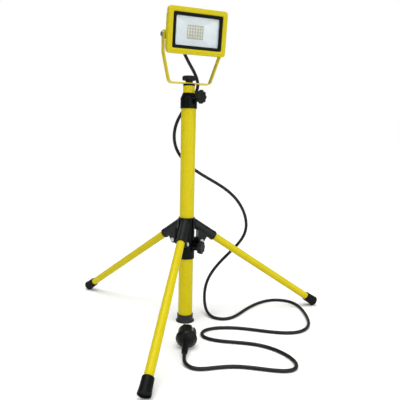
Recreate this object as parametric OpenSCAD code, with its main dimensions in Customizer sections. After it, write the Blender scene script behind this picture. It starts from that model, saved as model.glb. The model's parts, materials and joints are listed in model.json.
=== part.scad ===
// Tripod work light: a tilting floodlight on a two-stage mast with three folding legs
// Origin on the mast axis at floor level, +Z up, the lamp faces -Y and tilts about X

/* [Mast] */
// Outside diameter of the outer mast tube
mast_d = 32; // [30:0.5:34]
// Wall thickness of both mast tubes
mast_wall = 1.5; // [1:0.1:2]
// Outside diameter of the inner mast tube
inner_d = 25; // [22:0.5:26]
// Height of the outer tube's top end above the floor
mast_top = 490; // [470:1:520]
// Height of the inner tube's top end above the floor
inner_top = 522.4; // [515:0.1:560]
// Length of the inner mast tube
inner_len = 400; // [250:1:420]
// Diameter of the rim of the mast's rubber foot
foot_rim_d = 41.5; // [38:0.5:46]
// Height of the mast's rubber foot
mast_foot_h = 17.5; // [12:0.5:30]

/* [Tripod] */
// Outside diameter of a leg tube
leg_d = 17; // [15:0.5:18]
// Wall thickness of a leg tube
leg_wall = 1.2; // [0.8:0.1:2]
// Slope of the opened legs below horizontal, in degrees
leg_drop = 33.2; // [30:0.1:40]
// Height at which the three leg axes meet on the mast axis
leg_apex_z = 235.6; // [230:0.1:245]
// Outside diameter of a leg socket
socket_d = 21; // [20:0.5:23]
// Distance from the apex to the outer end of a socket
socket_end = 78.5; // [72:0.5:90]
// Diameter of a leg's rubber foot at its widest
leg_foot_d = 24; // [21:0.5:26]
// Length of a leg's rubber foot
leg_foot_len = 30; // [24:1:40]

/* [Hub] */
// Outside diameter of the hub's sleeve
hub_d = 36.4; // [35:0.1:37]
// Height of the hub's lower face above the floor
hub_bottom = 146; // [140:1:150]
// Height of the hub's upper face above the floor
hub_top = 238; // [236:1:244]
// Distance of a leg's hinge bolt from the mast axis
hinge_r = 33; // [32:0.5:34]
// Height of the hinge bolts above the floor
hinge_z = 184; // [182:0.5:187]

/* [Clamps] */
// Diameter of the lobed clamp knobs
knob_d = 29; // [26:0.5:30]
// Thickness of the lobed part of a knob
knob_t = 10; // [8:0.5:11]
// Diameter of the clamp screws
screw_d = 6; // [5:1:6]
// Height of the mast collar's knob above the floor
collar_knob_z = 498.5; // [498:0.1:500]
// Height of the hub's knob above the floor
hub_knob_z = 173; // [171:0.5:174]

/* [Yoke] */
// Width of the yoke's strap
strap_w = 16; // [12:0.5:16]
// Thickness of the yoke's strap
strap_t = 2.5; // [2:0.1:3]
// Height of the underside of the yoke's base
yoke_z = 526.5; // [526.5:0.1:530]

/* [Lamp] */
// Width of the lamp's front frame
lamp_w = 130; // [126:0.5:130]
// Height of the lamp's front frame
lamp_h = 92; // [88:0.5:96]
// Distance of the front face ahead of the tilt axis
lamp_front = 29; // [29:0.5:34]
// Distance of the lamp's centre to the right of the mast axis
lamp_x = 7.5; // [7:0.1:8]
// Height of the tilt axis above the floor
tilt_z = 625; // [622:0.5:632]
// Height of the lamp's centre above the tilt axis
lamp_rise = 8.5; // [6:0.5:10]
// Angle of the lamp's face below the horizontal, in degrees
tilt_rest = 7.4; // [0:0.1:12]
// Width of the opening in the front frame
window_w = 108; // [104:0.5:110]
// Height of the opening in the front frame
window_h = 70.5; // [68:0.5:72]

/* [Cord] */
// Diameter of the mains cord
cord_d = 7; // [6:0.5:8]

/* [Hidden] */

$fn = 64;
yellow = [0.88, 0.82, 0.12];
black = [0.13, 0.14, 0.13];
steel = [0.72, 0.73, 0.75];
brass = [0.78, 0.64, 0.30];
fit = 0.05;              // radial clearance of a running fit
gap = 0.3;               // clearance between pieces that move past each other
eps = 0.5;               // overlap that makes a cut run clear of a face

mast_r = mast_d / 2;
inner_r = inner_d / 2;
hub_r = hub_d / 2;
leg_r = leg_d / 2;
screw_r = screw_d / 2;
leg_azimuths = [240, 0, 120];
hub_knob_azimuth = -45;
collar_knob_azimuth = -60;

hinge_bolt_r = 2.5;      // M5 hinge bolts
lug_half = 4.2;          // half thickness of a hub lug
ear_gap = lug_half + gap;
ear_half = 8.5;          // half width across a socket's two ears
ear_r = 7.5;             // rounded end of lugs and ears
socket_floor = 30;       // distance from the apex to the bottom of the socket's bore

foot_tip_r = leg_foot_d / 2 - 0.5;
foot_chamfer = 1.2;
// the foot's lower edge just touches the floor
leg_end = (leg_apex_z - foot_tip_r * cos(leg_drop)) / sin(leg_drop);

collar_bottom = 474.5;
collar_shoulder = 497;
collar_top = 507.5;
collar_r = 18.2;
collar_boss_end = 25;    // distance of the collar's boss face from the mast axis
hub_boss_end = 27;       // distance of the hub's boss face from the mast axis
boss_r = 8;
clamp_nut_r = 5;
clamp_nut_len = 7;
knob_neck = 3;           // length of the plain neck under a knob's lobes
knob_lobes = 8;

guide_h = 22;            // guide plug at the foot of the inner mast
inner_bottom = inner_top - inner_len;
cap_r = 12.9;
cap_top = yoke_z - gap;
stud_r = 4;
stud_top = 540;
yoke_knob_z = yoke_z + strap_t + gap;
yoke_knob_neck = 4.5;
yoke_knob_top = 543.2;

arm_in = lamp_w / 2 + 0.4;              // inner face of an arm from the lamp's centre
arm_mid = arm_in + strap_t / 2;
arm_out = arm_in + strap_t;
pivot_r = 3;
// centre line of the yoke's strap, seen from the front
yoke_line = [[lamp_x - arm_mid, tilt_z + strap_w / 2], [lamp_x - arm_mid, 590],
             [-45.6, yoke_z + strap_t / 2], [46.3, yoke_z + strap_t / 2],
             [lamp_x + arm_mid, 604], [lamp_x + arm_mid, tilt_z + strap_w / 2]];
yoke_bends = [14, 8, 8, 14];

frame_back = -15;        // y of the joint between front frame and housing
gasket_front = -lamp_front + 0.8;
glass_front = -lamp_front + 4.5;
glass_back = glass_front + 3;
board_front = -10;
board_back = -8.4;
base_back = -3;          // y of the back of the housing's base plate
fin_back = 14;
box_w = 68;              // driver compartment on the back of the housing
box_low = -12;
box_high = 34;
box_back = 26;
cover_t = 2.5;
led_columns = 6;
led_rows = 4;
led_pitch_x = 5.8;
led_pitch_z = 6.4;
gland_x = -23.6;         // gland axis in the lamp's own frame
gland_y = 18.5;
gland_lean = [8, 152];    // the rubber sleeve leans with the cord

plug_at = [-47, -141.5];
plug_azimuth = 66;
plug_rise = 12;          // the plug rests on its rim and its sleeve, nose up
plug_roll = 40;
plug_rim_r = 21;
plug_rim_t = 4;
plug_nose_r = 18.5;
plug_nose_len = 22;
plug_sleeve_len = 45;
pin_spacing = 19;
pin_r = 2.4;
pin_len = 19;

// route of the cord from the lamp's gland to the plug: control points of a smooth curve
cord_route = [[-7.7, 19.6, 598.1], [4.9, 18.9, 574.2], [24, 16, 546], [30, 17, 517], [5, 25, 485],
              [-26, 24, 440], [-26, 22, 384], [24, 26, 338], [96, 19, 304], [139, 13, 265],
              [160, 13, 213], [150, 20, 172], [100, 34, 125], [62, 35, 80], [60, 38, 26],
              [57, 5, 3.6], [72, -28, 3.6], [108, -32, 3.6], [168, 23, 3.6], [248, 66, 3.6],
              [299, 39, 3.6], [300, -10, 3.6], [274, -84, 3.6], [245, -132, 3.6], [202, -155, 3.6],
              [150, -131, 3.6], [104, -91, 3.6], [50, -67, 3.6], [8, -76, 3.6], [-2, -112, 3.6],
              [32, -142, 3.6], [93, -171, 3.6], [122, -219, 3.6], [127, -274, 3.6],
              [98, -302, 3.6], [54, -274, 3.6], [6, -240, 3.6], [-51, -240, 3.6],
              [-69.5, -227.5, 4], [-75.5, -205.7, 6], [-64.1, -179.9, 12]];
cord_sides = 10;
rings_per_point = 2;     // rings swept for each control point of the route

// ---- shared shapes ----

// rounded rectangle, centred
module rrect(w, h, r) {
    square([w - 2 * r, h], center = true);
    square([w, h - 2 * r], center = true);
    for (x = [-1, 1], y = [-1, 1])
        translate([x * (w / 2 - r), y * (h / 2 - r)]) circle(r = r);
}

// rounded plate across Y, from y0 to y1
module plate_y(w, h, r, y0, y1) {
    translate([0, y1, 0]) rotate([90, 0, 0]) linear_extrude(y1 - y0) rrect(w, h, r);
}

// tube along Z from z0 to z1
module tube(ro, ri, z0, z1) {
    difference() {
        translate([0, 0, z0]) cylinder(r = ro, h = z1 - z0);
        translate([0, 0, z0 - eps]) cylinder(r = ri, h = z1 - z0 + 2 * eps);
    }
}

// cylinder along X, centred at y, z
module x_cylinder(r, x0, x1, y = 0, z = 0) {
    translate([x0, y, z]) rotate([0, 90, 0]) cylinder(r = r, h = x1 - x0);
}

// hexagonal prism along Z with a bore
module hex_nut(flats, bore_r, h) {
    difference() {
        cylinder(r = flats / 2 / cos(30), h = h, $fn = 6);
        translate([0, 0, -eps]) cylinder(r = bore_r, h = h + 2 * eps);
    }
}

// children with Z pointing away from the mast axis, at an azimuth and a height
module radially(azimuth, z) {
    rotate([0, 0, azimuth]) translate([0, 0, z]) rotate([0, 90, 0]) children();
}

// lobed knob with a plain neck, from 0 upward
module lobed_knob(neck, lobes_t, d, bore_r, bore_depth) {
    lobe_r = d * 0.11;
    difference() {
        union() {
            cylinder(r = 7.8, h = neck + 1);
            translate([0, 0, neck]) linear_extrude(lobes_t) {
                circle(r = d * 0.41);
                for (i = [0 : knob_lobes - 1])
                    rotate([0, 0, i * 360 / knob_lobes]) translate([d / 2 - lobe_r, 0]) circle(r = lobe_r);
            }
        }
        translate([0, 0, -eps]) cylinder(r = bore_r, h = bore_depth + eps);
    }
}

// ---- hub ----

module hub_lug(azimuth) {
    rotate([0, 0, azimuth]) rotate([90, 0, 0])
        translate([0, 0, -lug_half]) linear_extrude(2 * lug_half) {
            translate([hinge_r, hinge_z]) circle(r = ear_r);
            polygon([[mast_r + 1, hinge_z - 14], [hinge_r, hinge_z - ear_r],
                     [hinge_r, hinge_z + ear_r], [mast_r + 1, hinge_z + ear_r + 1]]);
        }
}

module hub() color(black) difference() {
    union() {
        translate([0, 0, hub_bottom]) cylinder(r = hub_r - 0.4, h = hub_top - hub_bottom);
        translate([0, 0, hub_bottom]) cylinder(r = hub_r + 0.3, h = 40);
        translate([0, 0, hub_top - 6]) cylinder(r = hub_r + 0.3, h = 6);
        for (a = leg_azimuths) {
            hub_lug(a);
            rotate([0, 0, a + 60]) translate([hub_r - 1.5, -2, hub_bottom + 30]) cube([3.5, 4, 60]);
        }
        radially(hub_knob_azimuth, hub_knob_z) cylinder(r = boss_r, h = hub_boss_end);
    }
    translate([0, 0, hub_bottom - eps]) cylinder(r = mast_r + fit, h = hub_top - hub_bottom + 2 * eps);
    radially(hub_knob_azimuth, hub_knob_z) cylinder(r = screw_r + fit, h = hub_boss_end + eps);
    radially(hub_knob_azimuth, hub_knob_z)
        translate([0, 0, hub_boss_end - clamp_nut_len]) cylinder(r = clamp_nut_r, h = clamp_nut_len + eps);
    for (a = leg_azimuths) hinge_bore(a, hinge_bolt_r + fit, lug_half + 1);
}

// bore or shank along a hinge axis, symmetric about the leg's plane
module hinge_bore(azimuth, r, half) {
    rotate([0, 0, azimuth]) translate([hinge_r, half, hinge_z]) rotate([90, 0, 0]) cylinder(r = r, h = 2 * half);
}

module clamp_nut(azimuth, z, boss_end) {
    color(brass) radially(azimuth, z) translate([0, 0, boss_end - clamp_nut_len])
        tube(clamp_nut_r - 0.02, screw_r + fit, 0, clamp_nut_len - 0.2);
}

module hub_clamp_nut() clamp_nut(hub_knob_azimuth, hub_knob_z, hub_boss_end);

// bolts pass through both ears and the lug; heads on one side, nuts on the other
module leg_bolts() color(steel) for (a = leg_azimuths) {
    hinge_bore(a, hinge_bolt_r, ear_half + 1);
    rotate([0, 0, a]) translate([hinge_r, ear_half + gap + 3, hinge_z]) rotate([90, 0, 0])
        cylinder(r = 4.75, h = 3);
    rotate([0, 0, a]) translate([hinge_r, -ear_half, hinge_z]) rotate([90, 0, 0])
        cylinder(r = hinge_bolt_r, h = 5);
}

module leg_nuts() color(steel) for (a = leg_azimuths)
    rotate([0, 0, a]) translate([hinge_r, -ear_half - gap, hinge_z]) rotate([90, 0, 0])
        hex_nut(8, hinge_bolt_r + 0.02, 3.5);

// ---- clamp knobs ----

module clamp_screw(azimuth, z, tip_r, boss_end) {
    color(steel) radially(azimuth, z) translate([0, 0, tip_r]) cylinder(r = screw_r, h = boss_end + 9 - tip_r);
}

module clamp_knob(azimuth, z, boss_end) {
    color(black) radially(azimuth, z) translate([0, 0, boss_end + 0.5])
        lobed_knob(knob_neck, knob_t, knob_d, screw_r + 0.02, 8.7);
}

module hub_clamp_screw() clamp_screw(hub_knob_azimuth, hub_knob_z, mast_r + gap, hub_boss_end);
module hub_knob() clamp_knob(hub_knob_azimuth, hub_knob_z, hub_boss_end);
module collar_clamp_screw() clamp_screw(collar_knob_azimuth, collar_knob_z, inner_r + gap, collar_boss_end);
module collar_knob() clamp_knob(collar_knob_azimuth, collar_knob_z, collar_boss_end);

// ---- legs ----

// children with Z along a leg, from the apex outward
module along_leg(azimuth) {
    rotate([0, 0, azimuth]) translate([0, 0, leg_apex_z]) rotate([0, 90 + leg_drop, 0]) children();
}

// height of the leg's axis at a distance from the mast axis
function axis_z(r) = leg_apex_z - r * tan(leg_drop);

module leg_socket(azimuth) color(black) difference() {
    union() {
        along_leg(azimuth) translate([0, 0, 12]) cylinder(d = socket_d, h = socket_end - 12);
        along_leg(azimuth) translate([0, 0, socket_end - 5]) cylinder(d = socket_d + 1, h = 4);
        rotate([0, 0, azimuth]) rotate([90, 0, 0]) translate([0, 0, -ear_half])
            linear_extrude(2 * ear_half) {
                translate([hinge_r, hinge_z]) circle(r = ear_r);
                polygon([[hinge_r - ear_r, hinge_z], [hinge_r + ear_r, hinge_z],
                         [52, axis_z(52)], [hinge_r - ear_r, axis_z(hinge_r - ear_r)]]);
            }
    }
    // hollow between the ears for the hub's lug
    rotate([0, 0, azimuth]) translate([mast_r, -ear_gap, hinge_z - 12])
        cube([hinge_r - mast_r + 12, 2 * ear_gap, 12 + ear_r + 2]);
    along_leg(azimuth) translate([0, 0, socket_floor]) cylinder(r = leg_r + fit, h = socket_end);
    translate([0, 0, hub_bottom]) cylinder(r = hub_r + 0.3 + gap, h = 120);
    rotate([0, 0, azimuth]) translate([0, -socket_d, hub_top - 50]) cube([hub_r - 1.4, 2 * socket_d, 80]);
    hinge_bore(azimuth, hinge_bolt_r + fit, ear_half + 1);
}

module leg_tube(azimuth) color(yellow) along_leg(azimuth)
    tube(leg_r, leg_r - leg_wall, socket_floor + 0.5, leg_end - 4);

module leg_foot(azimuth) color(black) along_leg(azimuth) difference() {
    rotate_extrude() polygon([[0, leg_end - leg_foot_len], [10.2, leg_end - leg_foot_len],
                              [10.8, leg_end - leg_foot_len + 1], [leg_foot_d / 2, leg_end - foot_chamfer],
                              [foot_tip_r, leg_end], [0, leg_end]]);
    translate([0, 0, leg_end - leg_foot_len - eps]) cylinder(r = leg_r + 0.02, h = leg_foot_len - 3.5 + eps);
}

module leg_socket_front() leg_socket(leg_azimuths[0]);
module leg_tube_front() leg_tube(leg_azimuths[0]);
module leg_foot_front() leg_foot(leg_azimuths[0]);
module leg_socket_right() leg_socket(leg_azimuths[1]);
module leg_tube_right() leg_tube(leg_azimuths[1]);
module leg_foot_right() leg_foot(leg_azimuths[1]);
module leg_socket_back() leg_socket(leg_azimuths[2]);
module leg_tube_back() leg_tube(leg_azimuths[2]);
module leg_foot_back() leg_foot(leg_azimuths[2]);

// ---- mast ----

module outer_mast() color(yellow) tube(mast_r, mast_r - mast_wall, 3.2, mast_top);

module mast_foot() color(black) difference() {
    union() {
        cylinder(d = foot_rim_d, h = 3);
        cylinder(r = mast_r + 1.6, h = mast_foot_h);
    }
    translate([0, 0, 3]) cylinder(r = mast_r + 0.02, h = mast_foot_h);
}

module mast_collar() color(black) difference() {
    union() {
        translate([0, 0, collar_bottom]) cylinder(r = collar_r, h = collar_shoulder - collar_bottom);
        translate([0, 0, collar_shoulder])
            cylinder(r1 = collar_r, r2 = inner_r + 1.2, h = collar_top - collar_shoulder);
        radially(collar_knob_azimuth, collar_knob_z) cylinder(r = boss_r, h = collar_boss_end);
    }
    translate([0, 0, collar_bottom - eps]) cylinder(r = mast_r + 0.02, h = mast_top - collar_bottom + 2 * eps);
    translate([0, 0, collar_bottom]) cylinder(r = inner_r + fit, h = 60);
    radially(collar_knob_azimuth, collar_knob_z) cylinder(r = screw_r + fit, h = collar_boss_end + eps);
    radially(collar_knob_azimuth, collar_knob_z)
        translate([0, 0, collar_boss_end - clamp_nut_len]) cylinder(r = clamp_nut_r, h = clamp_nut_len + eps);
}

module collar_clamp_nut() clamp_nut(collar_knob_azimuth, collar_knob_z, collar_boss_end);

module inner_mast() color(yellow) tube(inner_r, inner_r - mast_wall, inner_bottom, inner_top);

// plastic plug that keeps the foot of the inner tube central in the outer one
module mast_guide() color(black) {
    translate([0, 0, inner_bottom - 6]) cylinder(r = mast_r - mast_wall - fit, h = 6);
    translate([0, 0, inner_bottom - 1]) cylinder(r = inner_r - mast_wall - 0.02, h = guide_h - 6);
}

module mast_cap() color(black) difference() {
    union() {
        translate([0, 0, inner_top]) cylinder(r = cap_r, h = cap_top - inner_top);
        translate([0, 0, inner_top - 16]) cylinder(r = inner_r - mast_wall - 0.02, h = 17);
    }
    translate([0, 0, inner_top - 12]) cylinder(r = stud_r + 0.02, h = 40);
}

module yoke_stud() color(steel) translate([0, 0, inner_top - 11.8])
    cylinder(r = stud_r, h = stud_top - inner_top + 11.8);

// ---- yoke ----

function unit2(v) = v / norm(v);

// arc that replaces corner b of the path a-b-c, as a list of points
function corner_arc(a, b, c, r, n = 6) =
    let (u = unit2(a - b), w = unit2(c - b),
         half = acos(u * w) / 2,
         centre = b + unit2(u + w) * r / sin(half),
         p = b + u * r / tan(half), q = b + w * r / tan(half),
         a0 = atan2(p.y - centre.y, p.x - centre.x),
         a1 = atan2(q.y - centre.y, q.x - centre.x),
         turn = a1 - a0 > 180 ? a1 - a0 - 360 : a1 - a0 < -180 ? a1 - a0 + 360 : a1 - a0)
    [for (i = [0 : n]) centre + r * [cos(a0 + turn * i / n), sin(a0 + turn * i / n)]];

// path with its inner corners rounded
function rounded(p, radii) = concat([p[0]],
    [for (i = [1 : len(p) - 2]) each corner_arc(p[i - 1], p[i], p[i + 1], radii[i - 1])],
    [p[len(p) - 1]]);

// band of thickness t along a path
function side(p, off) = [for (i = [0 : len(p) - 1])
    let (a = p[max(i - 1, 0)], b = p[min(i + 1, len(p) - 1)], d = unit2(b - a)) p[i] + off * [-d.y, d.x]];
function reversed(v) = [for (i = [len(v) - 1 : -1 : 0]) v[i]];

module yoke() color(yellow) difference() {
    path = rounded(yoke_line, yoke_bends);
    translate([0, strap_w / 2, 0]) rotate([90, 0, 0]) linear_extrude(strap_w)
        polygon(concat(side(path, strap_t / 2), reversed(side(path, -strap_t / 2))));
    // rounded arm ends around the pivots
    for (s = [-1, 1]) translate([lamp_x + s * arm_mid, 0, tilt_z]) difference() {
        translate([-strap_t, -strap_w, 0]) cube([2 * strap_t, 2 * strap_w, strap_w]);
        x_cylinder(strap_w / 2, -2 * strap_t, 2 * strap_t);
    }
    x_cylinder(pivot_r + fit, lamp_x - arm_out - 5, lamp_x + arm_out + 5, 0, tilt_z);
    translate([0, 0, yoke_z - eps]) cylinder(r = stud_r + fit, h = strap_t + 2 * eps);
    // adjusting slot low in each arm
    for (s = [-1, 1]) translate([s * 65, 0, 581]) {
        for (z = [-6, 6]) x_cylinder(3, -14, 14, 0, z);
        cube([28, 6, 12], center = true);
    }
}

module yoke_knob() color(black) translate([0, 0, yoke_knob_z]) difference() {
    lobed_knob(yoke_knob_neck, yoke_knob_top - yoke_knob_z - yoke_knob_neck, knob_d + 1, stud_r + fit, 11.5);
    translate([0, 0, -eps]) cylinder(r = 6.5, h = 6 + eps);
}

module yoke_knob_nut() color(brass) translate([0, 0, yoke_knob_z]) tube(6.48, stud_r + fit, 0, 6);

// ---- lamp ----

// children in the lamp's own frame, around the centre of its face
module lamp_pose() {
    translate([lamp_x, 0, tilt_z]) rotate([tilt_rest, 0, 0]) translate([0, 0, lamp_rise]) children();
}

module lamp_housing() color(yellow) lamp_pose() difference() {
    union() {
        plate_y(lamp_w - 8, lamp_h - 8, 6, frame_back + 0.02, base_back);
        for (i = [-8 : 8]) translate([i * 7 - 1.25, base_back - 1, -39]) cube([2.5, fin_back - base_back + 1, 78]);
        translate([-box_w / 2, base_back - 1, box_low]) cube([box_w, box_back - base_back + 1, box_high - box_low]);
        for (s = [-1, 1]) {
            x_cylinder(9, s > 0 ? 50 : -lamp_w / 2 - 0.1, s > 0 ? lamp_w / 2 + 0.1 : -50, 0, -lamp_rise);
            translate([s * 56 - 6, base_back - 1, -9 - lamp_rise]) cube([12, 5, 18]);
        }
    }
    // pocket for the LED board and reflector
    plate_y(window_w - 4, window_h - 4, 2, frame_back - eps, board_back);
    // driver compartment, open at the back
    translate([-box_w / 2 + 2.5, 2, box_low + 2.5]) cube([box_w - 5, box_back, box_high - box_low - 5]);
    x_cylinder(pivot_r + 0.02, -80, -52, 0, -lamp_rise);
    x_cylinder(pivot_r + 0.02, 52, 80, 0, -lamp_rise);
    // bores of the frame's screws, and room for their heads among the fins
    for (x = [-1, 1], z = [-1, 1]) {
        frame_screw_bore(x * 57, z * 38, 1.62);
        translate([x * 57, base_back, z * 38]) rotate([-90, 0, 0]) cylinder(r = 3.6, h = fin_back + 10);
    }
    translate([gland_x, gland_y, box_low - eps]) cylinder(r = 5.02, h = 4);
    // fins cut back behind the gland and its sleeve
    translate([gland_x - 9.4, gland_y - 9, -lamp_h / 2]) cube([28, 20, lamp_h / 2 + box_low]);
}

module frame_screw_bore(x, z, r) {
    translate([x, base_back + eps, z]) rotate([90, 0, 0]) cylinder(r = r, h = 16);
}

module front_frame() color(yellow) lamp_pose() difference() {
    plate_y(lamp_w, lamp_h, 7, -lamp_front, frame_back);
    plate_y(window_w, window_h, 4, -lamp_front - eps, frame_back + eps);
    for (x = [-1, 1], z = [-1, 1]) frame_screw_bore(x * 57, z * 38, 1.62);
}

module window_gasket() color(black) lamp_pose() difference() {
    plate_y(window_w - 0.1, window_h - 0.1, 3.9, gasket_front, glass_front - 0.02);
    plate_y(95, 57.8, 3, gasket_front - eps, glass_front + eps);
}

module window_glass() color([0.85, 0.9, 0.92, 0.4]) lamp_pose()
    plate_y(window_w - 0.4, window_h - 0.4, 3.8, glass_front, glass_back);

// four-sided dish, w by h at depth y
module dish(w0, h0, y0, w1, h1, y1) {
    hull() {
        translate([0, y0, 0]) cube([w0, 0.02, h0], center = true);
        translate([0, y1, 0]) cube([w1, 0.02, h1], center = true);
    }
}

module reflector() color([0.8, 0.82, 0.84]) lamp_pose() difference() {
    union() {
        plate_y(window_w - 0.4, window_h - 0.4, 3.8, glass_back + 0.05, glass_back + 1);
        dish(100, 62, glass_back + 0.5, 40, 32, board_front - 0.9);
    }
    dish(98, 60, glass_back - 0.5, 36, 28, board_front - 0.8);
    dish(36, 28, board_front - 2, 36, 28, board_front + 2);
}

module led_board() color("white") lamp_pose()
    translate([-23, board_front, -18]) cube([46, board_back - board_front - 0.02, 36]);

module led_chips() color([0.92, 0.9, 0.6]) lamp_pose()
    for (i = [0 : led_columns - 1], k = [0 : led_rows - 1])
        translate([(i - (led_columns - 1) / 2) * led_pitch_x - 1.4, board_front - 0.72,
                   (k - (led_rows - 1) / 2) * led_pitch_z - 1.5]) cube([2.8, 0.7, 3]);

module led_driver() color([0.2, 0.2, 0.22]) lamp_pose() translate([-24, 2.2, 0]) cube([48, 14, 28]);

module driver_cover() color(yellow) lamp_pose() difference() {
    translate([-box_w / 2, box_back + 0.05, box_low]) cube([box_w, cover_t, box_high - box_low]);
    for (x = [-1, 1], z = [box_low + 4, box_high - 4]) cover_screw_bore(x * 30, z, 1.62);
}

module cover_screw_bore(x, z, r) {
    translate([x, box_back + cover_t + eps, z]) rotate([90, 0, 0]) cylinder(r = r, h = cover_t + 1.5);
}

module cover_screws() color(steel) lamp_pose() for (x = [-1, 1], z = [box_low + 4, box_high - 4])
    translate([x * 30, box_back + cover_t + 1.8, z]) rotate([90, 0, 0]) {
        cylinder(r = 2.8, h = 1.7);
        cylinder(r = 1.6, h = cover_t + 1.6);
    }

module frame_screws() color(steel) lamp_pose() for (x = [-1, 1], z = [-1, 1])
    translate([x * 57, base_back + 1.8, z * 38]) rotate([90, 0, 0]) {
        cylinder(r = 2.8, h = 1.7);
        cylinder(r = 1.6, h = 17);
    }

module gland_body() color(black) lamp_pose() translate([gland_x, gland_y, 0]) difference() {
    union() {
        translate([0, 0, box_low - 3]) cylinder(r = 7.5, h = 2.95, $fn = 6);
        translate([0, 0, box_low - 9]) cylinder(r = 5, h = 15);
    }
    translate([0, 0, box_low - 10]) cylinder(r = 3.7, h = 20);
}

module gland_nut() color(black) lamp_pose() translate([gland_x, gland_y, 0]) difference() {
    translate([0, 0, box_low - 11]) cylinder(r1 = 6.2, r2 = 7.2, h = 7.9);
    translate([0, 0, box_low - 9]) cylinder(r = 5.02, h = 8);
    translate([0, 0, box_low - 12]) cylinder(r = 4.3, h = 4);
}

// tapered rubber sleeve that leads the cord out of the gland nut, and the stub that the nut holds
module gland_sleeve() color(black) lamp_pose() translate([gland_x, gland_y, box_low - 10]) difference() {
    union() {
        rotate([gland_lean.x, gland_lean.y, 0]) translate([0, 0, 4.4]) cylinder(r1 = 5.6, r2 = 4.6, h = 16.6);
        translate([0, 0, -5]) cylinder(r = 4.2, h = 5.9);
    }
    rotate([gland_lean.x, gland_lean.y, 0]) translate([0, 0, 8]) cylinder(r = 3.8, h = 30);
}

module pivot_bolts() color(steel) lamp_pose() for (s = [0, 180]) rotate([0, 0, s]) {
    x_cylinder(pivot_r, 53, arm_out + gap + 1, 0, -lamp_rise);
    x_cylinder(5, arm_out + gap + 1, arm_out + gap + 3.5, 0, -lamp_rise);
}

module pivot_washers() color(steel) lamp_pose() for (s = [0, 180]) rotate([0, 0, s]) difference() {
    x_cylinder(6.2, arm_out + gap - 0.1, arm_out + gap + 0.95, 0, -lamp_rise);
    x_cylinder(pivot_r + 0.02, arm_out, arm_out + 5, 0, -lamp_rise);
}

// ---- cord and plug ----

// weights of a uniform cubic spline at t within a span
function spline_weights(t) = [pow(1 - t, 3), 3 * pow(t, 3) - 6 * t * t + 4,
                              -3 * pow(t, 3) + 3 * t * t + 3 * t + 1, pow(t, 3)] / 6;
function route_at(i) = i < 0 ? 2 * cord_route[0] - cord_route[1]
    : i >= len(cord_route) ? 2 * cord_route[i - 1] - cord_route[i - 2] : cord_route[i];
function spline_point(i, t) = let (w = spline_weights(t))
    w[0] * route_at(i - 1) + w[1] * route_at(i) + w[2] * route_at(i + 1) + w[3] * route_at(i + 2);
cord_line = [for (i = [0 : len(cord_route) - 2], k = [0 : rings_per_point - 1])
                 spline_point(i, k / rings_per_point),
             spline_point(len(cord_route) - 2, 1)];

// ring of points around a place, square to a direction
function ring_at(p, d) = let (u = unit2(cross(d, abs(d.z) > 0.8 ? [1, 0, 0] : [0, 0, 1])), v = cross(u, unit2(d)))
    [for (k = [0 : cord_sides - 1]) let (a = k * 360 / cord_sides) p + cord_d / 2 * (cos(a) * u + sin(a) * v)];
function rings(line) = [for (i = [0 : len(line) - 1])
    let (d = line[min(i + 1, len(line) - 1)] - line[max(i - 1, 0)]) ring_at(line[i], d)];

// tube through rings whose starting points are matched to the ring before
function nearest(r, p, k = 0, best = 0) = k == len(r) ? best
    : nearest(r, p, k + 1, norm(r[k] - p) < norm(r[best] - p) ? k : best);
function turned(r, s) = [for (k = [0 : len(r) - 1]) r[(k + s) % len(r)]];
function matched(rs, i = 0, done = []) = i == len(rs) ? done
    : matched(rs, i + 1, concat(done, [i == 0 ? rs[0] : turned(rs[i], nearest(rs[i], done[i - 1][0]))]));

module swept_tube(line) {
    rs = matched(rings(line));
    n = cord_sides;
    last = len(rs) - 1;
    polyhedron(points = [for (r = rs) each r],
               faces = concat([[for (k = [n - 1 : -1 : 0]) k]],
                              [for (i = [0 : last - 1], k = [0 : n - 1])
                                  [i * n + k, i * n + (k + 1) % n, (i + 1) * n + (k + 1) % n, (i + 1) * n + k]],
                              [[for (k = [0 : n - 1]) last * n + k]]));
}

module cord() color(black) swept_tube(cord_line);

// children with Z along the plug towards its pins, origin at the rim
module plug_pose() {
    rim_z = plug_rim_r * cos(plug_rise) + plug_rim_t / 2 * sin(plug_rise);
    translate([plug_at.x, plug_at.y, rim_z]) rotate([0, 0, plug_azimuth])
        rotate([0, 90 - plug_rise, 0]) rotate([0, 0, plug_roll]) children();
}

module plug_body() color(black) plug_pose() difference() {
    union() {
        cylinder(r = plug_nose_r, h = plug_nose_len);
        translate([0, 0, -plug_rim_t / 2]) cylinder(r = plug_rim_r, h = plug_rim_t);
        translate([0, 0, -11]) cylinder(r1 = 9.5, r2 = 18.5, h = 9.5);
    }
    translate([0, 0, 6]) cylinder(r = 14.5, h = plug_nose_len);
    translate([0, 0, -12]) cylinder(r = 6.02, h = 12);
    // guide notches beside the earth clips
    for (s = [-1, 1]) translate([s * plug_nose_r - 2, -3, 5]) cube([4, 6, plug_nose_len]);
}

module plug_insert() color(black) plug_pose() difference() {
    translate([0, 0, 6.05]) cylinder(r = 14.45, h = plug_nose_len - 6.05);
    for (s = [-1, 1]) translate([0, s * pin_spacing / 2, 8]) cylinder(r = pin_r + 0.02, h = plug_nose_len);
}

module plug_pins() color(steel) plug_pose() for (s = [-1, 1]) translate([0, s * pin_spacing / 2, 8.1]) {
    cylinder(r = pin_r, h = plug_nose_len + pin_len - 8.1 - pin_r);
    translate([0, 0, plug_nose_len + pin_len - 8.1 - pin_r]) sphere(r = pin_r);
}

module plug_earth_clips() color(steel) plug_pose() for (s = [-1, 1])
    translate([s * (plug_nose_r - 1.2) - 0.6, -2, 5.2]) cube([1.2, 4, 15]);

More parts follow.
